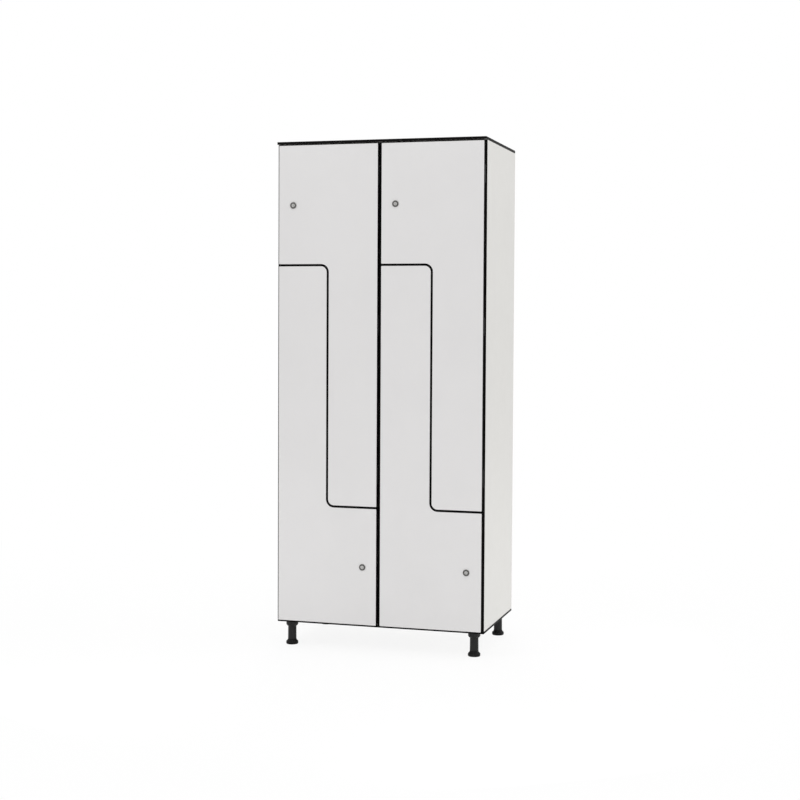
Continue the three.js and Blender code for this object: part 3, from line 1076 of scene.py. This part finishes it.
def add_locks():
    housing = housing_shape()
    plug = plug_shape()
    cam = cam_shape()
    nut = nut_shape()
    tail = tail_screw_shape()
    for door in doors:
        place = facing(door.lock, (0, 1, 0))
        name = f"lock_{door.name}"
        # The housing's dark nickel is painted reflection and shade
        add_piece(f"{name}_housing_nickel", placed(housing, place), door.body,
                  [bezel_nickel_painted_dark], f"{name}_housing")
        add_piece(f"{name}_plug_nickel", placed(plug, place), door.lock_body,
                  [plug_nickel], f"{name}_plug")
        add_piece(f"{name}_cam_zinc", placed(cam, Matrix.Translation(door.lock)), door.lock_body,
                  [zinc_steel], f"{name}_cam")
        add_piece(f"{name}_nut", placed(nut, place), door.body, [zinc_steel])
        add_piece(f"{name}_tail_screw", placed(tail, place), door.lock_body, [screw_steel])


# Adjustable legs
def leg_body_shape():
    """The flange under the bottom panel, the collar and the tube, open below for the foot's stem."""
    profile = rounded(
        [
            (TUBE_BORE, TUBE_BORE_TOP, 0),
            (TUBE_BORE, TUBE_LOW, MOULDED_EDGE),
            (TUBE_RADIUS, TUBE_LOW, MOULDED_EDGE),
            (TUBE_TOP_RADIUS, COLLAR_LOW, MOULDED_FILLET / 2),
            (COLLAR_RADIUS, COLLAR_LOW, COLLAR_EDGE),
            (FLANGE_RADIUS, FLANGE_LOW, MOULDED_FILLET / 2),
            (FLANGE_RADIUS, FLANGE_TOP, MOULDED_EDGE),
            (STEM_RADIUS, FLANGE_TOP, 0),
        ],
        ARC_STEPS,
    )
    return turned(profile, LEG_SIDES)


def leg_foot_shape():
    """The flared foot and its coarse screwed stem."""
    foot = rounded(
        [
            (STEM_RADIUS, 0, 0),
            (SOLE_RADIUS, 0, MOULDED_EDGE),
            (FOOT_RADIUS, SOLE_RISE, MOULDED_EDGE * 2),
            (FOOT_RADIUS, FOOT_RIM, MOULDED_FILLET),
            (FOOT_NECK, FOOT_SHOULDER, MOULDED_FILLET),
            (TUBE_RADIUS, FOOT_TOP, MOULDED_EDGE / 2),
            (STEM_RADIUS - STEM_THREAD, FOOT_TOP, 0),
        ],
        ARC_STEPS,
    )
    stem = thread(STEM_RADIUS, STEM_THREAD, STEM_PITCH, FOOT_TOP, STEM_TOP - MOULDED_EDGE)
    end = [(STEM_RADIUS - STEM_THREAD * 2, STEM_TOP)]
    return turned([*map(tuple, foot), *stem, *end], LEG_SIDES)


def add_legs():
    shapes = {"body": leg_body_shape(), "foot": leg_foot_shape()}
    for row in ROWS:
        for side in SIDES:
            centre = middle(f"leg_{row}_{side}_foot")
            place = Matrix.Translation((centre.x, centre.y, 0))
            for part, shape in shapes.items():
                node = f"leg_{row}_{side}_{part}"
                add_piece(f"{node}_plastic", placed(shape, place), body_of_node[node],
                          [leg_plastics[part]], node)


# Studio
def seen_directly(tree):
    """1 for what the camera, a reflection or a clear material sees, and 0 for what lights a surface."""
    path = tree.nodes.new("ShaderNodeLightPath")
    value = path.outputs["Is Camera Ray"]
    for name in ("Is Glossy Ray", "Is Transmission Ray"):
        larger = tree.nodes.new("ShaderNodeMath")
        larger.operation = "MAXIMUM"
        tree.links.new(value, larger.inputs[0])
        tree.links.new(path.outputs[name], larger.inputs[1])
        value = larger.outputs["Value"]
    return value


def mixed(tree, factor, first, second):
    """A mix of two shaders by a factor."""
    mix = tree.nodes.new("ShaderNodeMixShader")
    tree.links.new(factor, mix.inputs["Fac"])
    tree.links.new(first, mix.inputs[1])
    tree.links.new(second, mix.inputs[2])
    return mix.outputs["Shader"]


def add_world():
    world = bpy.data.worlds.new("studio")
    bpy.context.scene.world = world
    world.use_nodes = True
    tree = world.node_tree
    tree.nodes.clear()
    shaders = []
    for strength in (AMBIENT, BACKGROUND):
        background = tree.nodes.new("ShaderNodeBackground")
        background.inputs["Color"].default_value = WHITE
        background.inputs["Strength"].default_value = strength
        shaders.append(background.outputs["Background"])
    output = tree.nodes.new("ShaderNodeOutputWorld")
    tree.links.new(mixed(tree, seen_directly(tree), *shaders), output.inputs["Surface"])


def diffuse(tree, colour):
    node = tree.nodes.new("ShaderNodeBsdfDiffuse")
    node.inputs["Color"].default_value = colour
    return node.outputs["BSDF"]


def floor_material():
    """A pale floor that looks white but for a share of its own shading, which keeps the locker's shadow.

    The share is whole round the locker and fades out further off, so that the floor ends in plain white.
    """
    material = bpy.data.materials.new("floor")
    material.use_nodes = True
    tree = material.node_tree
    tree.nodes.clear()
    white = tree.nodes.new("ShaderNodeEmission").outputs["Emission"]
    places = tree.nodes.new("ShaderNodeTexCoord").outputs["Object"]
    distance = tree.nodes.new("ShaderNodeVectorMath")
    distance.operation = "LENGTH"
    tree.links.new(places, distance.inputs[0])
    share = tree.nodes.new("ShaderNodeMapRange")
    share.interpolation_type = "SMOOTHSTEP"
    share.inputs["From Min"].default_value = SHADE_WHOLE
    share.inputs["From Max"].default_value = SHADE_GONE
    share.inputs["To Min"].default_value = SHADE_SHARE
    share.inputs["To Max"].default_value = 0.0
    tree.links.new(distance.outputs["Value"], share.inputs["Value"])
    shown = mixed(tree, share.outputs["Result"], white, diffuse(tree, WHITE))
    whole = mixed(tree, seen_directly(tree), diffuse(tree, FLOOR_COLOUR), shown)
    output = tree.nodes.new("ShaderNodeOutputMaterial")
    tree.links.new(whole, output.inputs["Surface"])
    return material


def add_floor():
    bm = bmesh.new()
    corners = ((-1, -1), (1, -1), (1, 1), (-1, 1))
    bm.faces.new([bm.verts.new((x * FLOOR_HALF, y * FLOOR_HALF, 0)) for x, y in corners])
    mesh = mesh_of(bm)
    mesh.materials.append(floor_material())
    floor = bpy.data.objects.new("floor", mesh)
    bpy.context.scene.collection.objects.link(floor)


def add_lamps():
    for name, (place, aim, width, power) in LAMPS.items():
        data = bpy.data.lights.new(name, "AREA")
        data.shape = "DISK"
        data.size = width
        data.energy = power
        lamp = bpy.data.objects.new(f"{name}_lamp", data)
        lamp.matrix_world = facing(place, Vector(place) - Vector(aim))
        lamp.visible_camera = False
        bpy.context.scene.collection.objects.link(lamp)


def add_camera():
    yaw, pitch, roll = (math.radians(angle) for angle in (CAMERA_YAW, CAMERA_PITCH, CAMERA_ROLL))
    ahead = Vector((-math.sin(yaw) * math.cos(pitch), math.cos(yaw) * math.cos(pitch), -math.sin(pitch)))
    level = Vector((math.cos(yaw), math.sin(yaw), 0))
    upright = level.cross(ahead)
    right = level * math.cos(roll) + upright * math.sin(roll)
    up = upright * math.cos(roll) - level * math.sin(roll)
    data = bpy.data.cameras.new("camera")
    data.sensor_width = SENSOR_WIDTH
    data.lens = LENS
    data.shift_y = SHIFT_UP
    camera = bpy.data.objects.new("camera", data)
    turn = Matrix((right, up, -ahead)).transposed().to_4x4()
    camera.matrix_world = Matrix.Translation(CAMERA_PLACE) @ turn
    bpy.context.scene.collection.objects.link(camera)
    bpy.context.scene.camera = camera


add_camera()
add_carcass()
for door in doors:
    add_door(door)
    add_hinges(door)
add_locks()
add_legs()
add_floor()
add_world()
add_lamps()
bpy.context.scene.view_settings.view_transform = "Standard"
